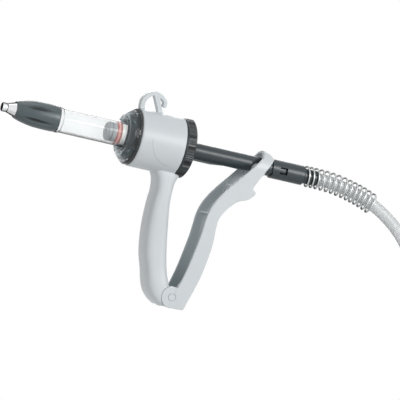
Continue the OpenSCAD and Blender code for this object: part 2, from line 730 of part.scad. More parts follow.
// Put-away length: two layers that spiral in and out again, in the plane of the gun
coil_r0 = 62;
coil_gap = 0.8;
coil_step = hose_d + coil_gap;
coil_turns = 1.5;
coil_climb = 0.5;
coil_centre = route_end + [-coil_r0, -hose_d];
coil_rings = 24;
coil_span = 2 * coil_turns + coil_climb;
function coil_radius(t) = coil_r0 - coil_step * min(t, coil_span - t);
function coil_layer(t) = t < coil_turns ? 0
    : t < coil_turns + coil_climb ? (1 - cos(180 * (t - coil_turns) / coil_climb)) / 2 : 1;
function coil_point(t) = [
    coil_centre[0] + coil_radius(t) * cos(360 * t), coil_step * coil_layer(t),
    coil_centre[1] - coil_radius(t) * sin(360 * t)
];
coil_loops = [for (i = [0 : coil_rings * coil_span]) coil_point(i / coil_rings)];
coil_end = coil_loops[len(coil_loops) - 1];
coil_path = concat([[route_end[0], 0, route_end[1]]], coil_loops,
    [coil_end + hose_d * heading(coil_loops, len(coil_loops) - 1)]);
module hose_coil()
    color([0.86, 0.88, 0.88, 0.6]) hung() wire(coil_path, hose_r, 6);

// Strap round the bundle at the foot of the coil
tie_w = 8;
tie_t = 1.6;
tie_in = coil_r0 - coil_step * (coil_turns + 0.05) - hose_r - move_gap;
tie_out = coil_r0 + hose_r + move_gap;
tie_y0 = -hose_r - move_gap;
tie_y1 = coil_step + hose_r + move_gap;
module coil_tie()
    color("black") hung() translate([coil_centre[0] - tie_w / 2, 0, coil_centre[1]]) difference() {
        translate([0, tie_y0 - tie_t, -tie_out - tie_t])
            cube([tie_w, tie_y1 - tie_y0 + 2 * tie_t, tie_out - tie_in + 2 * tie_t]);
        translate([-1, tie_y0, -tie_out]) cube([tie_w + 2, tie_y1 - tie_y0, tie_out - tie_in]);
    }

// Kink spring: helix about the hose from the connector to past the ferrule
kink_x0 = connector_x1 + kink_wire / 2 + move_gap;
kink_line = [for (p = curve(route, 12)) if (p[0] >= kink_x0 && p[0] <= connector_x1 + kink_len) p];
kink_r = kink_d / 2 - kink_wire / 2;
kink_steps = 8 * kink_curls;
function along(p, f) = let (n = f * (len(p) - 1), i = min(floor(n), len(p) - 2))
    p[i] + (n - i) * (p[i + 1] - p[i]);
function across_line(p, f) = let (d = unit(along(p, min(f + 0.02, 1)) - along(p, max(f - 0.02, 0))))
    [-d[1], d[0]];
kink_path = [
    for (i = [0 : kink_steps]) let (
        f = i / kink_steps, c = along(kink_line, f), n = across_line(kink_line, f), a = 360 * i / 8)
        [c[0] + kink_r * sin(a) * n[0], kink_r * cos(a), c[1] + kink_r * sin(a) * n[1]]
];
module kink_spring()
    color("silver") hung() wire(kink_path, kink_wire / 2, 6);

// Squeeze lever: side outline with a rear spur, hollow channel open to the front, closed loop on top
lever_half = lever_w / 2;
fork_half = fork_w / 2;
blank_half = max(lever_half, fork_half);
boss_half = lever_half - lever_wall - move_gap;
loop_rise = 13.5;
lever_rear = concat(
    curve([
        pivot + [12.4, -8.4], pivot + [17.4, 8], pivot + [22, 26.2], pivot + [25, 50.1],
        lug + [-27.2, -51.6], lug + [-24, -42], lug + [-14.8, -31], lug + [-5, -26.4],
        lug + [0.4, -20.6]
    ], 5),
    curve([lug + [0, -18.6], lug + [-2.8, -16.2], lug + [0.6, -8], lug + [6, 2], lug + [11.2, 11.6]], 4)
);
lever_front = curve([
    lug + [1, 10.4], lug + [-6, 2.2], lug + [-13.6, -7.4], lug + [-29.8, -28.4], lug + [-37, -44.6],
    pivot + [12.6, 54], pivot + [7.8, 26], pivot + [3.4, 9]
], 5);
lever_outline = concat(lever_rear, [lug + [8.4, 14.9], lug + [3, 17.5]], lever_front,
    [pivot + [-2, -ear_r + 0.6], pivot + [6, -ear_r + 0.2]]);
web_line = curve([
    pivot + [8.4, -30], pivot + [8.4, -7], pivot + [13.4, 9], pivot + [18, 26.6], pivot + [21.2, 50.1],
    lug + [-31.2, -51.6], lug + [-28, -40.4], lug + [-18.4, -28.4], lug + [-9.6, -22],
    lug + [0, -19.4], lug + [30, -14]
], 5);

// Front view of the lever: tapered walls closed by a round arch over the rod
module arch_view(half_low, half_high, top) {
    z0 = pivot[1] - 20;
    z1 = top - half_high;
    polygon([[-half_low, z0], [half_low, z0], [half_high, z1], [-half_high, z1]]);
    translate([0, z1]) circle(r = half_high);
}
module seen_from_front(x0, x1)
    translate([x0, 0, 0]) rotate([90, 0, 90]) linear_extrude(x1 - x0) children();

loop_half = fork_half - lever_wall;
module squeeze_lever()
    color("gainsboro") hung() difference() {
        union() {
            difference() {
                intersection() {
                    union() {
                        across(-blank_half, blank_half) polygon(lever_outline);
                        translate([pivot[0], lever_half, pivot[1]]) rotate([90, 0, 0])
                            cylinder(h = lever_w, r = ear_r);
                    }
                    seen_from_front(0, big) arch_view(lever_half, fork_half, loop_rise);
                }
                intersection() {
                    across(-blank_half, blank_half)
                        polygon(concat(web_line, [[lug[0] + 30, 40], [-50, 40], [-50, -200]]));
                    seen_from_front(0, big)
                        arch_view(lever_half - lever_wall, loop_half, loop_rise - 3);
                }
                across(-boss_half - move_gap, boss_half + move_gap)
                    translate(pivot) circle(r = ear_r + move_gap);
            }
            for (side = [-1, 1])
                translate([lug[0], side * (flat_half + move_gap + loop_half + 0.5) / 2, lug[1]])
                    rotate([90, 0, 0])
                        cylinder(h = loop_half + 0.5 - flat_half - move_gap, r = lug_r, center = true);
            for (rib = lever_ribs)
                across(-rib_half, rib_half) polygon(strip(rib, rib_t, rib_t));
        }
        translate([pivot[0], 0, pivot[1]]) rotate([90, 0, 0])
            cylinder(h = big, r = pin_r + run_fit, center = true);
        for (side = [-1, 1])
            translate([pivot[0], side * (lever_half - head_sink + big / 2), pivot[1]]) rotate([90, 0, 0])
                cylinder(h = big, r = pin_head_d / 2 + 0.2, center = true);
    }
rib_t = 1.6;
rib_half = fork_half - 0.7 * lever_wall;
lever_ribs = [
    [lug + [-18, -17], lug + [-17, -30]],
    [lug + [-35, -45], lug + [-28.4, -45]]
];

// Pivot pin with its head on the near side and a clip in a groove on the far side
head_sink = 1.2;
module pivot_pin()
    color("silver") hung() translate([pivot[0], 0, pivot[1]]) rotate([90, 0, 0]) difference() {
        union() {
            translate([0, 0, -lever_half]) cylinder(h = 2 * lever_half - head_sink + 0.1, r = pin_r);
            translate([0, 0, lever_half - head_sink + 0.1]) cylinder(h = head_sink, r = pin_head_d / 2);
        }
        translate([0, 0, -lever_half + head_sink - 1.1]) difference() {
            cylinder(h = 0.8, r = pin_r + 1);
            translate([0, 0, -1]) cylinder(h = 3, r = pin_r - 0.6);
        }
        translate([-0.4, -0.4 - pin_head_d / 2, lever_half - 0.4]) cube([0.8, 1.2, 2]);
    }

module pivot_clip()
    color("silver") hung() translate([pivot[0], 0, pivot[1]]) rotate([90, 0, 0])
        translate([0, 0, -lever_half + head_sink - 1.1 + set_fit]) difference() {
            cylinder(h = 0.8 - 2 * set_fit, r = pin_head_d / 2 - 0.1);
            translate([0, 0, -1]) cylinder(h = 3, r = pin_r - 0.6 + set_fit);
            translate([0, -pin_r + 0.9, -1]) cube([big, 2 * pin_r - 1.8, 3]);
        }

// Return spring: curls round the pin, one leg in the grip's hollow, one on the lever's web
return_r = pin_r + return_wire / 2 + 0.5;
slot_r = return_r + return_wire / 2 + 0.6;
coil_half = 6;
return_pitch = (2 * coil_half - return_wire - 1) / return_curls;
return_start = 180;
return_turn = 360 * return_curls - 205;
return_helix = [
    for (i = [0 : 8 * return_curls]) let (f = i / (8 * return_curls), a = return_start + return_turn * f)
        [pivot[0] + return_r * cos(a), (f - 0.5) * return_pitch * return_curls, pivot[1] + return_r * sin(a)]
];
return_last = return_helix[len(return_helix) - 1];
return_path = concat(
    [return_helix[0] + [-4.4, 0, 17], return_helix[0] + [-2, 0, 9], return_helix[0] + [-0.2, 0, 3]],
    return_helix,
    [return_last + [1.6, 0, 3], return_last + [7, 0, 13], return_last + [12.6, 0, 25]]
);
module return_spring()
    color("silver") hung() wire(return_path, return_wire / 2, 6);

echo(hose_length = path_length(hose_path) + path_length(coil_path));
echo(coil_gap = self_gap(coil_path, hose_r, 14));
echo(kink_gap = self_gap(kink_path, kink_wire / 2, 5));
echo(return_gap = self_gap(return_path, return_wire / 2, 5));
echo(valve_gaps = [for (p = [outlet_spring_path, inlet_spring_path]) self_gap(p, valve_wire / 2, 5)]);

body_housing();
barrel_bell();
bell_gasket();
barrel();
guide_bush();
valve_seat();
cap_seal();
nozzle();
nozzle_cap();
outlet_spring();
outlet_valve();
dose_ring();
rod_tube();
stop_collar();
piston_coupler();
piston_head();
piston_seal();
piston_ring();
inlet_valve();
inlet_spring();
hose_barb();
barb_seal();
hose_connector();
hose_ferrule();
kink_spring();
hose();
hose_coil();
coil_tie();
squeeze_lever();
pivot_pin();
pivot_clip();
return_spring();
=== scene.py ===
import json
import math

import bmesh
import bpy
import numpy as np
from mathutils import Matrix, Vector


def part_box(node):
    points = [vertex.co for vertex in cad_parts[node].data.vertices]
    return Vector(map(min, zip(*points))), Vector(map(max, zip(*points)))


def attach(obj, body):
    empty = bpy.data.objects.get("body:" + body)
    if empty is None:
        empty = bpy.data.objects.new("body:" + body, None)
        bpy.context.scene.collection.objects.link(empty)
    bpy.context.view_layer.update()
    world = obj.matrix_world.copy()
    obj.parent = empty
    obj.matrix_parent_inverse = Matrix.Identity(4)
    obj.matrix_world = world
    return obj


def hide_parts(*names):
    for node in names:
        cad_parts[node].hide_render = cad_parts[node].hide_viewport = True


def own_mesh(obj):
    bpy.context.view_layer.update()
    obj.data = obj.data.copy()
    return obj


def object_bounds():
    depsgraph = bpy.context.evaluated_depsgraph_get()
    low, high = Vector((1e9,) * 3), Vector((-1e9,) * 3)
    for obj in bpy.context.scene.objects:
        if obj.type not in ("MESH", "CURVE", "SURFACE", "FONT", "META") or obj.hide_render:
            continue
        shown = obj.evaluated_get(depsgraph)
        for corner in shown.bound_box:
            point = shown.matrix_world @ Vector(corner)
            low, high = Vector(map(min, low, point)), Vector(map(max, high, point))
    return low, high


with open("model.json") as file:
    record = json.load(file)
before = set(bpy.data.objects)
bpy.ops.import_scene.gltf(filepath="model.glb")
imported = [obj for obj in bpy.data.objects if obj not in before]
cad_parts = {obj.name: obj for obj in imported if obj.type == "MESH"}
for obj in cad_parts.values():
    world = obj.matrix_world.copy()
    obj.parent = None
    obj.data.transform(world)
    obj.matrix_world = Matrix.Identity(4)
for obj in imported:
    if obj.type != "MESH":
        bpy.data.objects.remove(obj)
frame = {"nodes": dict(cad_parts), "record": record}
cadBox = [list(corner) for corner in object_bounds()]
scene = bpy.context.scene
scene.view_settings.view_transform = "Standard"
nodes = frame["nodes"]
mm = 0.001
axisZ = -0.038  # the barrel axis lies this far below the hook's eye
pivot = (52, -125.7)  # x and z of the lever's pin in mm, from the hook's eye and from the barrel axis


# sizes below are in mm along x and y, and above the barrel axis
def at(x, y, z):
    return Vector((x * mm, y * mm, z * mm + axisZ))


def smoothCurve(points, steps):
    pts = [Vector(p) for p in points]
    out = []
    for i in range(len(pts) - 1):
        a, b, c, d = pts[max(i - 1, 0)], pts[i], pts[i + 1], pts[min(i + 2, len(pts) - 1)]
        for k in range(steps):
            t = k / steps
            out.append(0.5 * (2 * b + (c - a) * t + (2 * a - 5 * b + 4 * c - d) * t ** 2
                              + (3 * b - a - 3 * c + d) * t ** 3))
    return out + [pts[-1]]


# camera: the photo looks at the gun's right side from slightly in front, rolled with the gun
shot = {"yaw": 19.5, "roll": 12.9, "lens": 1500, "sensor": 36, "frameWidth": 0.340, "aim": (0.0621, 0, -0.0777)}


def placeCamera():
    yaw, roll = math.radians(shot["yaw"]), math.radians(shot["roll"])
    look = Vector((math.sin(yaw), math.cos(yaw), 0))
    side = Vector((math.cos(yaw), -math.sin(yaw), 0))
    right = side * math.cos(roll) + Vector((0, 0, 1)) * math.sin(roll)
    up = right.cross(look)
    away = shot["lens"] / shot["sensor"] * shot["frameWidth"]
    data = bpy.data.cameras.new("camera")
    data.lens, data.sensor_width = shot["lens"], shot["sensor"]
    camera = bpy.data.objects.new("camera", data)
    turn = Matrix((right, up, -look)).transposed().to_4x4()
    camera.matrix_world = Matrix.Translation(Vector(shot["aim"]) - look * away) @ turn
    scene.collection.objects.link(camera)
    scene.camera = camera


placeCamera()
print("camera placed")


# shader maths: a wrapped socket whose operators add nodes
class Wire:
    def __init__(self, tree, socket):
        self.tree, self.socket = tree, socket

    def make(self, kind, settings=None, inputs=None, output=0):
        node = self.tree.nodes.new(kind)
        for key, value in (settings or {}).items():
            setattr(node, key, value)
        for key, value in (inputs or {}).items():
            if isinstance(value, Wire):
                self.tree.links.new(value.socket, node.inputs[key])
            else:
                node.inputs[key].default_value = value
        return Wire(self.tree, node.outputs[output])

    def math(self, operation, a, b=0.0):
        return self.make("ShaderNodeMath", {"operation": operation}, {0: a, 1: b})

    def __add__(self, other):
        return self.math("ADD", self, other)

    def __radd__(self, other):
        return self.math("ADD", other, self)

    def __sub__(self, other):
        return self.math("SUBTRACT", self, other)

    def __rsub__(self, other):
        return self.math("SUBTRACT", other, self)

    def __mul__(self, other):
        return self.math("MULTIPLY", self, other)

    def __rmul__(self, other):
        return self.math("MULTIPLY", other, self)

    def __truediv__(self, other):
        return self.math("DIVIDE", self, other)

    def __gt__(self, other):
        return self.math("GREATER_THAN", self, other)

    def __lt__(self, other):
        return self.math("LESS_THAN", self, other)

    def __abs__(self):
        return self.math("ABSOLUTE", self)

    def reach(self, other):
        return self.math("SQRT", self * self + other * other)

    def clamp(self):
        return self.make("ShaderNodeClamp", None, {"Value": self})

    def ramp(self, start, full, least=0.0, kind="LINEAR"):
        return self.make("ShaderNodeMapRange", {"interpolation_type": kind},
                         {"Value": self, "From Min": start, "From Max": full, "To Min": least})

    def mix(self, low, high):
        return self.make("ShaderNodeMix", {"data_type": "RGBA"}, {"Factor": self, "A": low, "B": high}, "Result")


def newMaterial(name, **constants):
    material = bpy.data.materials.new(name)
    material.use_nodes = True
    tree = material.node_tree
    shader = tree.nodes["Principled BSDF"]
    for key, value in constants.items():
        shader.inputs[key.replace("_", " ")].default_value = value
    coords = Wire(tree, tree.nodes.new("ShaderNodeTexCoord").outputs["Object"])
    return material, shader, coords


def feed(shader, name, wire):
    wire.tree.links.new(wire.socket, shader.inputs[name])


def emboss(shader, height, strength, distance=0.0002):
    bump = height.make("ShaderNodeBump", None, {"Strength": strength, "Distance": distance, "Height": height})
    feed(shader, "Normal", bump)


def noise(coords, scale, detail=2.0, rough=0.5, stretch=None):
    where = coords
    if stretch:
        where = coords.make("ShaderNodeMapping", None, {"Vector": coords, "Scale": stretch})
    return coords.make("ShaderNodeTexNoise", None,
                       {"Vector": where, "Scale": scale, "Detail": detail, "Roughness": rough})


def axes(coords):
    return [coords.make("ShaderNodeSeparateXYZ", None, {"Vector": coords}, axis) for axis in "XYZ"]


def shade(tone, gain):
    return (*[min(1.0, c * gain) for c in tone], 1)


# moulded plastics: faint mottling, a fine spark-eroded skin, and wear that lifts the gloss
mouldNoise = {"cloud": (38, 3, 0.6), "fine": (2600, 2, 0.6)}


def moulded(name, **constants):
    material, shader, coords = newMaterial(name, Specular_IOR_Level=0.5, **constants)
    return material, shader, coords, noise(coords, *mouldNoise["cloud"]), noise(coords, *mouldNoise["fine"])


def plastic(name, tone, rough, skin=0.05, **constants):
    material, shader, coords, cloud, fine = moulded(name, **constants)
    feed(shader, "Base Color", cloud.mix(shade(tone, 0.95), shade(tone, 1.05)))
    feed(shader, "Roughness", rough - 0.07 + 0.1 * cloud + 0.06 * fine)
    emboss(shader, fine, skin)
    return material


# how much painted shade a point gets, from how deep it lies in a hollow, as markChannelShade and markHollowShade leave
# it on the mesh
def paintedShadeOf(coords):
    return coords.make("ShaderNodeAttribute", {"attribute_name": "paintedShade"}, None, "Fac")


# grey mouldings: a parting line, and either the housing's arc groove or painted shade in the lever's channel
mouldLines = {"seamHalf": 0.00014, "grooveEdges": (0.0005, 0.0001), "grooveLeastY": 0.012, "grooveTop": -0.001}


def greyMoulding(name, tone, paintedShade=None, panel=None):
    material, shader, coords, cloud, fine = moulded(name)
    base = cloud.mix(shade(tone, 0.96), shade(tone, 1.04))
    x, y, z = axes(coords)
    height = 0.4 * fine + (abs(y) < mouldLines["seamHalf"])
    if panel:
        x, z = x - panel["x"], z - panel["z"]
        groove = abs(x.reach(z) - panel["radius"]).ramp(*mouldLines["grooveEdges"])
        groove = groove * (abs(y) > mouldLines["grooveLeastY"]) * (x < 0.0) * (z < mouldLines["grooveTop"])
        height = height - 2 * groove
        base = (0.35 * groove).mix(base, shade(tone, 0.45))
    # painted shade: the lever's channel walls and floor take a slightly darker tone
    if paintedShade:
        base = (paintedShadeOf(coords) * (0.85 + 0.3 * cloud)).clamp().mix(base, (*paintedShade, 1))
    feed(shader, "Base Color", base)
    feed(shader, "Roughness", 0.3 + 0.1 * cloud + 0.06 * fine)
    emboss(shader, height, 0.12)
    return material


# cap and ring: painted shade darkens the hollows between their ribs, which are also duller
def fluted(name, tone, rough):
    material, shader, coords, cloud, fine = moulded(name)
    depth = paintedShadeOf(coords)
    base = cloud.mix(shade(tone, 0.95), shade(tone, 1.05))
    feed(shader, "Base Color", depth.mix(base, shade(tone, 0.12)))
    feed(shader, "Roughness", rough - 0.05 + 0.1 * cloud + 0.25 * depth)
    emboss(shader, fine, 0.08)
    return material


def edgeOn(coords, start, full):
    facing = coords.make("ShaderNodeLayerWeight", None, {"Blend": 0.5}, "Facing")
    return facing.ramp(start, full, kind="SMOOTHSTEP")


# clear plastics: a moulded streak, and an edge tone where the wall is seen edge on: on the barrel and hose a dark
# outline, partly the longer path through the tinted wall and mostly painted shade, and on the bell a paler rim, a
# painted sheen;
# a skin keeps that to the outer face, and to a share of it on the upper side, so the painted shade is strongest on the
# lower side
def clear(name, tone, rough, haze, edge, rim, skin=None, **constants):
    material, shader, coords = newMaterial(name, **{"IOR": 1.47, **constants})
    shader.inputs["Transmission Weight"].default_value = 1 - haze
    streak = noise(coords, 60, 2, 0.5, (0.2, 1, 1))
    wall = edgeOn(coords, *rim)
    if skin:
        y, z = axes(coords)[1:]
        z = z - axisZ
        wall = wall * z.ramp(skin["upper"], skin["lower"], skin["upperShare"]) * (y.reach(z) > skin["radius"])
    base = streak.mix(shade(tone, 0.97), shade(tone, 1.02))
    # painted shade and sheen: the edge tone goes into the colour itself
    feed(shader, "Base Color", wall.mix(base, (*edge, 1)))
    feed(shader, "Roughness", rough + 0.05 * streak)
    return material


def metal(name, tone, rough, along, rim, dim):
    material, shader, coords = newMaterial(name, Metallic=1.0, Specular_Tint=(0.1, 0.11, 0.12, 1))
    drawn = noise(coords, 900, 3, 0.6, along)
    cloud = noise(coords, 70, 2, 0.5)
    base = drawn.mix(shade(tone, 0.92), shade(tone, 1.05))
    # painted reflection: the colour darkens where the metal is seen edge on, drawing its dark outlines
    feed(shader, "Base Color", edgeOn(coords, *rim).mix(base, shade(tone, dim)))
    feed(shader, "Roughness", rough + 0.1 * drawn + 0.06 * cloud)
    emboss(shader, drawn, 0.04, 0.0001)
    return material


# piston seal: two red lips with a paler waist between them
def sealRubber(name, tone, waist, centre, half):
    material, shader, coords = newMaterial(name, Specular_IOR_Level=0.4)
    fine = noise(coords, 1800, 2, 0.6)
    x = axes(coords)[0]
    middle = (abs(x - centre) / half).ramp(1.0, 0.6)
    feed(shader, "Base Color", (middle * (0.85 + 0.2 * fine)).clamp().mix((*tone, 1), (*waist, 1)))
    feed(shader, "Roughness", 0.42 + 0.12 * fine)
    return material


greyTone = (0.62, 0.66, 0.68)
finishes = {
    "light_grey_plastic": greyMoulding("greyMoulding", greyTone),
    "charcoal_plastic": plastic("charcoalMoulding", (0.030, 0.042, 0.048), 0.33, 0.08),
    "black_plastic": plastic("blackMoulding", (0.022, 0.029, 0.034), 0.36, 0.1),
    "grey_plastic": plastic("greyTranslucent", (0.25, 0.28, 0.295), 0.3, Transmission_Weight=0.3),
    "white_plastic": plastic("whiteAcetal", (0.90, 0.91, 0.87), 0.34, 0.03),
    # edge tones: the barrel's and hose's dark outlines are painted shade, the bell's paler rim a painted sheen
    "clear_plastic": clear("clearBarrel", (0.94, 0.955, 0.96), rough=0.02, haze=0.05, edge=(0.004, 0.005, 0.006),
                           rim=(0.34, 0.66), IOR=1.3,
                           skin={"radius": 0.0098, "upper": 0.007, "lower": -0.004, "upperShare": 0.35}),
    "smoky_plastic": clear("smokyBell", (0.50, 0.56, 0.59), rough=0.02, haze=0.04, edge=(0.74, 0.80, 0.82),
                           rim=(0.4, 0.9), IOR=1.2, Coat_Weight=0.4),
    "clear_hose": clear("milkyHose", (0.86, 0.88, 0.89), rough=0.3, haze=0.6, edge=(0.42, 0.46, 0.48),
                        rim=(0.35, 1.0)),
    "black_rubber": plastic("blackRubber", (0.02, 0.021, 0.023), 0.55, 0.12),
    "red_rubber": plastic("redRubber", (0.44, 0.13, 0.105), 0.5, 0.08),
    "bright_steel": metal("brightSteel", (0.80, 0.81, 0.82), 0.14, along=(0.1, 1, 1), rim=(0.22, 0.6), dim=0.05),
}
pistonRed = sealRubber("pistonRed", (0.37, 0.10, 0.085), waist=(0.54, 0.29, 0.26), centre=-0.02475, half=0.0012)
capGrey = fluted("capMoulding", (0.078, 0.104, 0.114), 0.34)
ringBlack = fluted("ringMoulding", (0.024, 0.032, 0.037), 0.3)
wireSteel = metal("springSteel", (0.60, 0.625, 0.62), 0.26, along=(1, 1, 1), rim=(0.35, 0.85), dim=0.3)
housingGrey = greyMoulding("housingMoulding", greyTone, panel={"x": 0.021, "z": axisZ + 0.003, "radius": 0.021})
# the tone of the painted shade in the lever's channel
leverGrey = greyMoulding("leverMoulding", greyTone, paintedShade=(0.58, 0.635, 0.66))


def paint(obj, material):
    obj.data.materials.clear()
    obj.data.materials.append(material)


slotOf = {part["node"]: part["material_slot"] for part in frame["record"]["subparts"]}
for node, solid in nodes.items():
    paint(solid, finishes[slotOf[node]])
print("finishes:", len(finishes))


# mesh helpers: every finished piece sits at the origin with its place in its mesh
def newObject(name, mesh):
    obj = bpy.data.objects.new(name, mesh)
    scene.collection.objects.link(obj)
    return obj


def mended(mesh, weld=0.0):
    built = bmesh.new()
    built.from_mesh(mesh)
    if weld:
        bmesh.ops.remove_doubles(built, verts=built.verts, dist=weld)
    bmesh.ops.recalc_face_normals(built, faces=built.faces)
    built.to_mesh(mesh)
    built.free()
    return mesh


def meshOf(name, verts, faces):
    mesh = bpy.data.meshes.new(name)
    mesh.from_pydata([tuple(v) for v in verts], [], faces)
    return mended(mesh, 1e-7)


def ringFaces(rings, sides, ends="capped"):
    faces = []
    for i in range(rings if ends == "joined" else rings - 1):
        a, b = i * sides, (i + 1) % rings * sides
        faces += [[a + k, a + (k + 1) % sides, b + (k + 1) % sides, b + k] for k in range(sides)]
    if ends == "capped":
        faces += [list(range(sides))[::-1], [(rings - 1) * sides + k for k in range(sides)]]
    return faces


def circle(sides):
    return [(math.cos(math.tau * k / sides), math.sin(math.tau * k / sides)) for k in range(sides)]


def lathe(name, profile, sides=128):
    verts = [at(x, r * c, r * s) for r, x in profile for c, s in circle(sides)]
    return meshOf(name, verts, ringFaces(len(profile), sides, "joined"))


def rod(x0, x1, r, sides=96):
    return meshOf("rod", [at(x, r * c, r * s) for x in (x0, x1) for c, s in circle(sides)], ringFaces(2, sides))


def pivotRod(y0, y1, r, sides=64):
    verts = [at(pivot[0] + r * c, y, pivot[1] + r * s) for y in (y0, y1) for c, s in circle(sides)]
    return meshOf("pivotRod", verts, ringFaces(2, sides))


def plate(outline, half):
    verts = [at(x, y, z) for y in (-half, half) for x, z in outline]
    return meshOf("plate", verts, ringFaces(2, len(outline)))


def evaluated(obj):
    mesh = bpy.data.meshes.new_from_object(obj.evaluated_get(bpy.context.evaluated_depsgraph_get()))
    obj.modifiers.clear()
    old = obj.data
    obj.data = mesh
    bpy.data.meshes.remove(old)
    return obj


def combine(obj, others, operation):
    for mesh in others:
        tool = newObject("tool", mesh)
        step = obj.modifiers.new("combine", "BOOLEAN")
        step.operation, step.solver, step.object = operation, "MANIFOLD", tool
        evaluated(obj)
        bpy.data.objects.remove(tool)


def vertexRows(mesh, what):
    rows = np.zeros(len(mesh.vertices) * 3)
    mesh.vertices.foreach_get(what, rows)
    return rows.reshape(-1, 3)


def soften(obj, sizes):
    step = obj.modifiers.new("remesh", "REMESH")
    step.mode, step.voxel_size = "VOXEL", sizes["voxel"] * mm
    mesh = evaluated(obj).data
    co = vertexRows(mesh, "co")
    edges = np.zeros(len(mesh.edges) * 2, int)
    mesh.edges.foreach_get("vertices", edges)
    a, b = edges.reshape(-1, 2).T
    count = np.bincount(np.concatenate([a, b]), minlength=len(co))[:, None]
    for i in range(sizes["rounds"]):
        for pull in (0.6, -0.62):  # a pull in and a push back, so that thin straps keep their size
            near = np.zeros_like(co)
            np.add.at(near, a, co[b])
            np.add.at(near, b, co[a])
            co = co + pull * (near / count - co)
    mesh.vertices.foreach_set("co", co.ravel())
    mesh.update()


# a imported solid's own form with its edges eased
def easedCopy(name, node, sizes):
    obj = newObject(name, mended(nodes[node].data.copy(), 2e-6))
    soften(obj, sizes)
    return obj


def markDepth(mesh, depth):
    mark = mesh.attributes.new("paintedShade", "FLOAT", "POINT")
    mark.data.foreach_set("value", depth.astype(np.float32))


def shadeByAngle(obj, degrees):
    obj.data.shade_smooth()
    obj.data.set_sharp_from_angle(angle=math.radians(degrees))


def settle(obj, slot, body, *solids):
    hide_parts(*solids)
    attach(obj, body)


# feed hose: leaves the ferrule, droops out of view, and its spare length hangs in a tied coil
hoseSizes = {
    "radius": 5.25, "bore": 3.5, "sides": 24, "tail": 10.5, "routeSteps": 6,
    "route": [(131, 0), (140, 0), (150, 0), (162, 0), (176, -0.8), (190, -3.2), (202, -6.2), (214, -10.5),
              (226.6, -16.8), (239.2, -25.2), (251.4, -36.6), (262.2, -51), (270.8, -67.4), (277.4, -86),
              (282, -106), (285, -128), (286, -150), (286, -174), (286, -200), (286, -228), (286, -256)],
    "coilRadius": 62, "coilStep": 11.3, "coilTurns": 3.5, "perTurn": 48, "coilCentre": (224, -266.5),
    "climbStart": 1.5, "climbTurns": 0.5,  # where the coil steps over to its second layer
}


def hoseLine():
    points = [at(x, 0, z) for x, z in smoothCurve(hoseSizes["route"], hoseSizes["routeSteps"])]
    span, step, perTurn = hoseSizes["coilTurns"], hoseSizes["coilStep"], hoseSizes["perTurn"]
    cx, cz = hoseSizes["coilCentre"]
    for i in range(int(perTurn * span) + 1):
        t = i / perTurn
        r = hoseSizes["coilRadius"] - step * min(t, span - t)
        climb = min(max((t - hoseSizes["climbStart"]) / hoseSizes["climbTurns"], 0), 1)
        layer = (1 - math.cos(math.pi * climb)) / 2
        points.append(at(cx + r * math.cos(math.tau * t), step * layer, cz - r * math.sin(math.tau * t)))
    ahead = (points[-1] - points[-2]).normalized()
    return points + [points[-1] + ahead * hoseSizes["tail"] * mm]


def hoseMesh(points):
    rings = []
    side = None
    for i, p in enumerate(points):
        t = (points[min(i + 1, len(points) - 1)] - points[max(i - 1, 0)]).normalized()
        if side is None:
            side = t.orthogonal()
        side = (side - t * side.dot(t)).normalized()
        up = t.cross(side)
        rings.append((p, [side * c + up * s for c, s in circle(hoseSizes["sides"])]))
    verts = [p + spoke * hoseSizes[wall] * mm for wall in ("radius", "bore") for p, spokes in rings for spoke in spokes]
    sides, inner = hoseSizes["sides"], len(verts) // 2
    skin = ringFaces(len(points), sides, "open")
    faces = skin + [[inner + i for i in reversed(face)] for face in skin]
    last = inner - sides
    for k in range(sides):
        n = (k + 1) % sides
        faces.append([k, inner + k, inner + n, n])
        faces.append([last + k, last + n, inner + last + n, inner + last + k])
    mesh = meshOf("feedHose", verts, faces)
    mesh.shade_smooth()
    return mesh


hosePoints = hoseLine()
hoseLength = sum((b - a).length for a, b in zip(hosePoints, hosePoints[1:]))
hose = newObject("feedHose", hoseMesh(hosePoints))
paint(hose, finishes["clear_hose"])
settle(hose, "clear_hose", "rod", "hose", "hose_coil")

tieSizes = {"wall": 1.6, "corner": 5.5, "leastCorner": 1, "cornerSteps": 8, "bevel": 0.4}


def coilStrap():
    low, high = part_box("coil_tie")
    cy, cz = (low.y + high.y) / 2, (low.z + high.z) / 2
    hy, hz = (high.y - low.y) / 2, (high.z - low.z) / 2
    steps = tieSizes["cornerSteps"]

    def loop(inset):
        r = max(tieSizes["corner"] * mm - inset, tieSizes["leastCorner"] * mm)
        out = []
        for q, (sy, sz) in enumerate([(1, 1), (-1, 1), (-1, -1), (1, -1)]):
            for k in range(steps + 1):
                a = math.pi / 2 * (q + k / steps)
                out.append((cy + sy * (hy - inset - r) + r * math.cos(a), cz + sz * (hz - inset - r) + r * math.sin(a)))
        return out

    outer, inner = loop(0), loop(tieSizes["wall"] * mm)
    edges = ((outer, low.x), (outer, high.x), (inner, high.x), (inner, low.x))
    verts = [(x, y, z) for points, x in edges for y, z in points]
    obj = newObject("coilStrap", meshOf("coilStrap", verts, ringFaces(len(edges), len(outer), "joined")))
    paint(obj, finishes["black_rubber"])
    step = obj.modifiers.new("edge", "BEVEL")
    step.width, step.segments, step.limit_method = tieSizes["bevel"] * mm, 2, "ANGLE"
    shadeByAngle(evaluated(obj), 40)
    return obj


tie = coilStrap()
settle(tie, "black_rubber", "rod", "coil_tie")
at(147.4, 0, 0)
print("hose:", round(hoseLength, 3), "m")


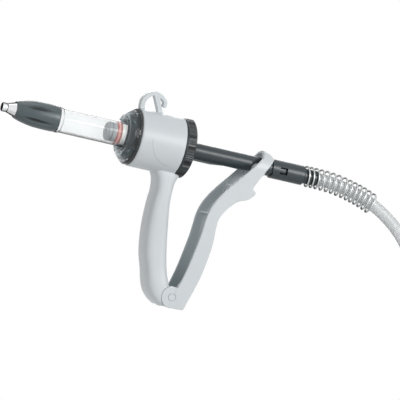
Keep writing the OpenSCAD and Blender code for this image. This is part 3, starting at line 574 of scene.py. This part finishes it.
# springs: one node tree sweeps a round wire along a line of points
def wireTree():
    tree = bpy.data.node_groups.new("springWire", "GeometryNodeTree")
    for name, kind in (("Line", "Geometry"), ("Wire Radius", "Float"), ("Sides", "Int"), ("Finish", "Material")):
        tree.interface.new_socket(name, in_out="INPUT", socket_type="NodeSocket" + kind)
    tree.interface.new_socket("Spring", in_out="OUTPUT", socket_type="NodeSocketGeometry")
    start, end = tree.nodes.new("NodeGroupInput"), tree.nodes.new("NodeGroupOutput")
    line, ring, sweep, smooth, whole, coat = [tree.nodes.new("GeometryNode" + kind) for kind in (
        "MeshToCurve", "CurvePrimitiveCircle", "CurveToMesh", "SetShadeSmooth", "RealizeInstances", "SetMaterial")]
    sweep.inputs["Fill Caps"].default_value = True
    for a, out, b, into in ((start, "Line", line, "Mesh"), (line, "Curve", sweep, "Curve"),
                            (start, "Wire Radius", ring, "Radius"), (start, "Sides", ring, "Resolution"),
                            (ring, "Curve", sweep, "Profile Curve"), (sweep, "Mesh", smooth, "Geometry"),
                            (smooth, "Geometry", whole, "Geometry"), (whole, "Geometry", coat, "Geometry"),
                            (start, "Finish", coat, "Material"), (coat, "Geometry", end, "Spring")):
        tree.links.new(a.outputs[out], b.inputs[into])
    return tree


springTree = wireTree()
wireSides = 10


def spring(name, points, wire, node, body):
    mesh = bpy.data.meshes.new(name)
    mesh.from_pydata([tuple(p) for p in points], [(i, i + 1) for i in range(len(points) - 1)], [])
    obj = newObject(name, mesh)
    step = obj.modifiers.new("springWire", "NODES")
    step.node_group = springTree
    values = {"Wire Radius": wire / 2 * mm, "Sides": wireSides, "Finish": wireSteel}
    for item in springTree.interface.items_tree:
        if item.in_out == "INPUT" and item.name in values:
            step[item.identifier] = values[item.name]
    mended(evaluated(obj).data)
    settle(obj, "bright_steel", body, node)
    return obj


kinkSizes = {"start": 148.45, "end": 216, "radius": 8.35, "wire": 1.5, "curls": 14, "perCurl": 28, "routeSteps": 12}


def kinkLine():
    start, end, r = kinkSizes["start"], kinkSizes["end"], kinkSizes["radius"]
    route = [p for p in smoothCurve(hoseSizes["route"], kinkSizes["routeSteps"]) if start <= p[0] <= end]
    count = kinkSizes["curls"] * kinkSizes["perCurl"]
    out = []
    for i in range(count + 1):
        n = i / count * (len(route) - 1)
        k = min(int(n), len(route) - 2)
        c = route[k] + (n - k) * (route[k + 1] - route[k])
        d = (route[min(k + 2, len(route) - 1)] - route[max(k - 1, 0)]).normalized()
        a = math.tau * i / kinkSizes["perCurl"]
        out.append(at(c[0] - r * math.sin(a) * d[1], r * math.cos(a), c[1] + r * math.sin(a) * d[0]))
    return out


spring("kinkSpring", kinkLine(), kinkSizes["wire"], "kink_spring", "rod")

returnSizes = {
    "radius": 3.7, "wire": 1.6, "curls": 4, "half": 4.7, "start": 180, "lost": 205, "steps": 96, "armSteps": 6,
    "gripArm": [(-4.4, 0, 17), (-2, 0, 9), (-0.2, 0, 3), (0, 0, 0)],
    "leverArm": [(0, 0, 0), (1.6, 0, 3), (7, 0, 13), (12.6, 0, 25)],
}


def returnLine():
    r, steps = returnSizes["radius"], returnSizes["steps"]
    turns = 360 * returnSizes["curls"] - returnSizes["lost"]
    coil = []
    for i in range(steps + 1):
        a = math.radians(returnSizes["start"] + turns * i / steps)
        y = (2 * i / steps - 1) * returnSizes["half"]
        coil.append(Vector((pivot[0] + r * math.cos(a), y, pivot[1] + r * math.sin(a))))
    first, last = [smoothCurve([end + Vector(v) for v in returnSizes[arm]], returnSizes["armSteps"])
                   for end, arm in ((coil[0], "gripArm"), (coil[-1], "leverArm"))]
    return [at(*p) for p in first[:-1] + coil + last[1:]]


spring("returnSpring", returnLine(), returnSizes["wire"], "return_spring", "lever")

valveSizes = {"wire": 0.5, "curls": 3, "perCurl": 20}
valveSprings = {
    "outlet_spring": {"name": "outletSpring", "from": -97.05, "to": -90.75, "radius": 2.7, "body": "housing",
                      "joint": "outlet_valve_lift", "still": -97.3, "keep": 0.75},
    "inlet_spring": {"name": "inletSpring", "from": -32.25, "to": -28.65, "radius": 2.5, "body": "rod",
                     "joint": "inlet_valve_lift", "still": -32.6, "keep": 0.6},
}


def valveLine(sizes):
    x0, x1, r = sizes["from"], sizes["to"], sizes["radius"]
    perCurl = valveSizes["perCurl"]
    steps = perCurl * valveSizes["curls"]
    return [at(x0 + (x1 - x0) * i / steps, r * math.cos(math.tau * i / perCurl), r * math.sin(math.tau * i / perCurl))
            for i in range(steps + 1)]


for node, sizes in valveSprings.items():
    coil = spring(sizes["name"], valveLine(sizes), valveSizes["wire"], node, sizes["body"])
    at(sizes["still"], 0, 0)
    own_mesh(coil)
print("springs:", 2 + len(valveSprings))


# housing: drum, grip, boss and hook run together as one soft-edged moulding, then the hollows are cut
housingSizes = {
    "drum": [(0.5, -10), (24, -10), (24.9, -9.6), (25.3, -8.8), (25.3, 30.1), (24.9, 30.5), (0.5, 30.5)],
    # height, middle, half depth and half width of the grip, from the drum down
    "grip": [(-20.1, 24.5, 14, 12), (-24.8, 25.1, 11.6, 12.4), (-30.3, 25.5, 9, 12.7), (-39.3, 25.8, 7.9, 12.9),
             (-50, 25.7, 8.5, 13), (-66, 26.9, 9.9, 13), (-81, 28.8, 10.6, 13), (-95, 31.5, 10.8, 13.1),
             (-107, 35.2, 10.4, 13.4), (-117, 38.9, 11.2, 14), (-124.7, 43.2, 12, 14), (-130.7, 47.6, 10.6, 13.6),
             (-134.1, 50.4, 7.8, 12)],
    "gripSquare": 3.4, "gripSides": 72, "gripSteps": 8,
    "hook": [(-7.7, 23.7), (-8, 31.6), (-4.8, 37), (0, 39.8), (5.8, 39.1), (10.4, 35.8), (11.8, 32.6), (10.6, 30.4)],
    "leg": [(1.9, 39.2), (5.2, 32.8), (9.6, 23.7)],
    "strap": 4.2, "strapTip": 3.0, "strapHalf": 3, "hookSteps": 8, "legSteps": 4,
    "boss": 8.7, "bossHalf": 14, "earRecess": 9.6, "earInner": 11.1, "pinHole": 2.45, "clear": 30,
    "bores": [(-12, 32, 20.8), (-6, 32, 22.1), (25.6, 27.8, 23.1), (30.5, 60, 25.9)],
    "voxel": 0.5, "rounds": 26,
}


def gripMesh():
    sides = housingSizes["gripSides"]

    def rounded(v):
        return math.copysign(abs(v) ** (2 / housingSizes["gripSquare"]), v)

    turns = [math.tau * (k + 0.5) / sides for k in range(sides)]
    rings = smoothCurve(housingSizes["grip"], housingSizes["gripSteps"])
    verts = [at(x + depth * rounded(math.cos(a)), -width * rounded(math.sin(a)), z)
             for z, x, depth, width in rings for a in turns]
    return meshOf("grip", verts, ringFaces(len(rings), sides))


def strapMesh(path, steps, first, last):
    line = smoothCurve(path, steps)
    left, right = [], []
    for i, p in enumerate(line):
        d = (line[min(i + 1, len(line) - 1)] - line[max(i - 1, 0)]).normalized()
        n = Vector((-d[1], d[0])) * (first + (last - first) * i / (len(line) - 1)) / 2
        left.append(p + n)
        right.append(p - n)
    return plate([tuple(p) for p in left + right[::-1]], housingSizes["strapHalf"])


# the grip's back is cored in cells between ribs, with a slot for the lever's foot below them
coreSizes = {"top": -36.3, "bottom": pivot[1] + 16, "count": 5, "rib": 1.8, "half": 6.5, "depth": 11, "past": 4,
             "gripSteps": 3, "slotRadius": 5.1, "slotHalf": 6, "slotReach": 60, "slotLap": 2}


def coreCells():
    rings = smoothCurve(housingSizes["grip"], coreSizes["gripSteps"])

    def back(z, off):
        ring = min(rings, key=lambda s: abs(s[0] - z))
        return (ring[1] + ring[2] + off, z)

    def floor(z):
        return back(z, -coreSizes["depth"])

    def mouth(z):
        return back(z, coreSizes["past"])

    bottom, r, lap = coreSizes["bottom"], coreSizes["slotRadius"], coreSizes["slotLap"]
    pitch = (coreSizes["top"] - bottom) / coreSizes["count"]
    cells = []
    for i in range(coreSizes["count"]):
        z0 = bottom + i * pitch
        z1 = z0 + pitch - coreSizes["rib"]
        cells.append(plate([floor(z0), mouth(z0), mouth(z1), floor(z1), floor((z0 + z1) / 2)], coreSizes["half"]))
    x, z = pivot
    far, half = x + coreSizes["slotReach"], coreSizes["slotHalf"]
    cells.append(plate([(x - r, z), floor(bottom + lap), mouth(bottom + lap),
                        (far, z + r + lap), (far, z - r), (x, z - r)], half))
    cells.append(pivotRod(-half, half, r))
    return cells


def makeHousing():
    sizes = housingSizes
    thick, ear, inner, past = sizes["strap"], sizes["earRecess"], sizes["earInner"], sizes["clear"]
    obj = newObject("gripHousing", lathe("gripHousing", sizes["drum"]))
    combine(obj, [gripMesh(), pivotRod(-sizes["bossHalf"], sizes["bossHalf"], sizes["boss"]),
                  strapMesh(sizes["hook"], sizes["hookSteps"], thick, sizes["strapTip"]),
                  strapMesh(sizes["leg"], sizes["legSteps"], thick, thick)], "UNION")
    soften(obj, sizes)
    combine(obj, [rod(*bore) for bore in sizes["bores"]]
            + [pivotRod(inner, past, ear), pivotRod(-past, -inner, ear), pivotRod(-past, past, sizes["pinHole"])]
            + coreCells(), "DIFFERENCE")
    paint(obj, housingGrey)
    shadeByAngle(obj, 32)
    settle(obj, "light_grey_plastic", "housing", "body_housing")
    return obj


housing = makeHousing()
print("housing:", len(housing.data.polygons), "faces")


# squeeze lever: the solid's own form with every edge eased, and painted shade in its channel
leverSizes = {"voxel": 0.5, "rounds": 14, "pinHole": 2.46, "clear": 30,
              "channelHalf": 9.2, "wallGain": 1.4, "floorGain": 1.2, "floorStart": 0.2}


# painted shade: inner walls facing the channel, and the channel floor, are marked for a darker tone
def markChannelShade(mesh):
    y = vertexRows(mesh, "co")[:, 1]
    normal = vertexRows(mesh, "normal")
    wall = np.clip(-np.sign(y) * normal[:, 1] * leverSizes["wallGain"], 0, 1)
    floor = np.clip(-normal[:, 0] * leverSizes["floorGain"] - leverSizes["floorStart"], 0, 1)
    markDepth(mesh, np.maximum(wall, floor * (np.abs(y) < leverSizes["channelHalf"] * mm)))


def makeLever():
    obj = easedCopy("squeezeLever", "squeeze_lever", leverSizes)
    combine(obj, [pivotRod(-leverSizes["clear"], leverSizes["clear"], leverSizes["pinHole"])], "DIFFERENCE")
    paint(obj, leverGrey)
    shadeByAngle(obj, 40)
    markChannelShade(obj.data)
    settle(obj, "light_grey_plastic", "lever", "squeeze_lever")
    return obj


lever = makeLever()
print("lever:", len(lever.data.polygons), "faces")


# nozzle cap and dose ring: the solids' own forms with eased edges, and painted shade in their hollows
grippedSizes = {
    "nozzle_cap": {"name": "flutedCap", "voxel": 0.3, "rounds": 3, "depth": 1.1, "least": 8.4,
                   "slot": "charcoal_plastic", "body": "housing", "paint": capGrey},
    "dose_ring": {"name": "scallopedRing", "voxel": 0.33, "rounds": 3, "depth": 1.2, "least": 23.0,
                  "slot": "black_plastic", "body": "ring", "paint": ringBlack},
}
hollowSizes = {"band": 0.8, "even": 0.15}


# a point's depth, which sets its painted shade, is taken from the widest point of its own band across the axis
def markHollowShade(mesh, sizes):
    co = vertexRows(mesh, "co")
    r = np.hypot(co[:, 1], co[:, 2] - axisZ) / mm
    band = np.floor((co[:, 0] - co[:, 0].min()) / (hollowSizes["band"] * mm)).astype(int)
    rim = np.zeros(band.max() + 1)
    np.maximum.at(rim, band, r)
    depth = np.clip((rim[band] - r - hollowSizes["even"]) / sizes["depth"], 0, 1)
    markDepth(mesh, depth * (r > sizes["least"]))


def makeGripped(node, sizes):
    obj = easedCopy(sizes["name"], node, sizes)
    paint(obj, sizes["paint"])
    shadeByAngle(obj, 50)
    markHollowShade(obj.data, sizes)
    settle(obj, sizes["slot"], sizes["body"], node)
    print(sizes["name"] + ":", len(obj.data.polygons), "faces")


for node, sizes in grippedSizes.items():
    makeGripped(node, sizes)


# barrel, bell and seal: turned with even facets, because uneven ones show as streaks in clear plastic
turnedSizes = {
    "sides": 160, "domeSteps": 12, "hollowSteps": 8,
    "barrel": [(8.75, -86), (9.4, -86), (9.6, -85.8), (9.6, -79.7), (11.2, -79.7), (11.4, -79.5), (11.4, -77.5),
               (11.2, -77.3), (10.1, -77.3), (10.1, -76.5), (10.7, -76.5), (10.9, -76.3), (10.9, -15.5),
               (12.3, -15.5), (12.3, -13.5), (8.75, -13.5)],
    "dome": [(10.93, -17.1), (13.3, -19.5), (15.7, -20.8), (18.3, -19.7), (22.1, -16.2), (24.7, -13)],
    "rim": [(24.7, -11.8), (20.77, -11.8), (20.77, -6), (18.6, -6)],
    "hollow": [(18.6, -10.8), (19.6, -12.8), (19.4, -15.2), (17.8, -17.5), (15.9, -18.3), (14.7, -17.2),
               (14.53, -15.4)],
    "nest": [(14.53, -11.1), (12.33, -11.1), (12.33, -15.5), (10.93, -15.5)],
    # the lips press 0.01 mm into the bore, as wet rubber does, so that they show right to the wall
    "seal": [(6.18, -27), (8.35, -27), (8.76, -26.6), (8.76, -25.5), (8.3, -25.1),
             (8.3, -24.4), (8.76, -24), (8.76, -22.9), (8.35, -22.5), (6.18, -22.5)],
}


def bellLine():
    dome = smoothCurve(turnedSizes["dome"], turnedSizes["domeSteps"])
    hollow = smoothCurve(turnedSizes["hollow"], turnedSizes["hollowSteps"])
    return dome + turnedSizes["rim"] + hollow + turnedSizes["nest"]


def makeTurned(name, profile, slot, body, node, material=None):
    obj = newObject(name, lathe(name, profile, turnedSizes["sides"]))
    paint(obj, material or finishes[slot])
    shadeByAngle(obj, 35)
    settle(obj, slot, body, node)
    return obj


barrel = makeTurned("clearBarrel", turnedSizes["barrel"], "clear_plastic", "housing", "barrel")
bell = makeTurned("smokyBell", bellLine(), "smoky_plastic", "housing", "barrel_bell")
makeTurned("pistonSeal", turnedSizes["seal"], "red_rubber", "rod", "piston_seal", pistonRed)
for obj in (barrel, bell):
    obj.visible_shadow = False  # the lamps reach what lies behind clear plastic
print("barrel, bell and seal turned")


# studio: pale floor under the hanging coil, soft lamps, white behind the gun
studio = {
    "floorHalf": 0.45, "floorX": 0.05, "floorDrop": 0.004, "floorTones": (0.86, 0.9),
    "lamps": [("keyLamp", (0.6, -1.0, 0.35), 0.6, 8.5), ("fillLamp", (-0.9, -0.7, 0.25), 0.6, 2.5),
              ("topLamp", (-0.1, 0.1, 0.95), 0.5, 0.9), ("backLamp", (0.2, 1.0, 0.4), 0.6, 3.5)],
    "lampAim": (0.05, 0, -0.08),
    "world": 0.36, "sky": [(0.0, 0.5), (0.45, 0.8), (0.62, 1.0), (1.0, 1.0)],
}


def makeFloor():
    low, half = cadBox[0][2] - studio["floorDrop"], studio["floorHalf"]
    corners = [(studio["floorX"] + sx * half, sy * half, low) for sx, sy in ((-1, -1), (1, -1), (1, 1), (-1, 1))]
    floor = newObject("floor", meshOf("floor", corners, [[0, 1, 2, 3]]))
    material, shader, coords = newMaterial("paleFloor", Roughness=0.7)
    feed(shader, "Base Color", noise(coords, 14, 3).mix(*[(tone, tone, tone, 1) for tone in studio["floorTones"]]))
    paint(floor, material)


def makeLamps():
    for name, place, size, power in studio["lamps"]:
        data = bpy.data.lights.new(name, "AREA")
        data.shape, data.size, data.energy = "DISK", size, power
        lamp = newObject(name, data)
        lamp.location = place
        aim = Vector(studio["lampAim"]) - Vector(place)
        lamp.rotation_euler = aim.to_track_quat("-Z", "Y").to_euler()
        lamp.visible_transmission = False  # a lamp seen through the clear walls would burn out their edges


def makeWorld():
    scene.world = bpy.data.worlds.new("studio")
    scene.world.use_nodes = True
    tree = scene.world.node_tree
    back = tree.nodes["Background"]
    sky = Wire(tree, tree.nodes.new("ShaderNodeTexCoord").outputs["Generated"])
    height = axes(sky)[2]
    dome = sky.make("ShaderNodeValToRGB", None, {"Fac": 0.5 + 0.5 * height}, "Color")
    stops = dome.socket.node.color_ramp.elements
    while len(stops) < len(studio["sky"]):
        stops.new(0.5)
    for stop, (place, tone) in zip(stops, studio["sky"]):
        stop.position = place
        stop.color = (tone, tone, tone, 1)
    feed(back, "Color", dome)
    back.inputs["Strength"].default_value = studio["world"]
    # the white background, as the camera, metal and clear pieces see it
    white = tree.nodes.new("ShaderNodeBackground")
    white.inputs["Color"].default_value = (1, 1, 1, 1)
    path = tree.nodes.new("ShaderNodeLightPath")
    camera, glossy, through = [Wire(tree, path.outputs["Is " + ray + " Ray"])
                               for ray in ("Camera", "Glossy", "Transmission")]
    mixer = tree.nodes.new("ShaderNodeMixShader")
    feed(mixer, 0, (camera + glossy + through).clamp())
    tree.links.new(back.outputs[0], mixer.inputs[1])
    tree.links.new(white.outputs[0], mixer.inputs[2])
    tree.links.new(mixer.outputs[0], tree.nodes["World Output"].inputs["Surface"])


makeFloor()
makeLamps()
makeWorld()
print("studio lit")
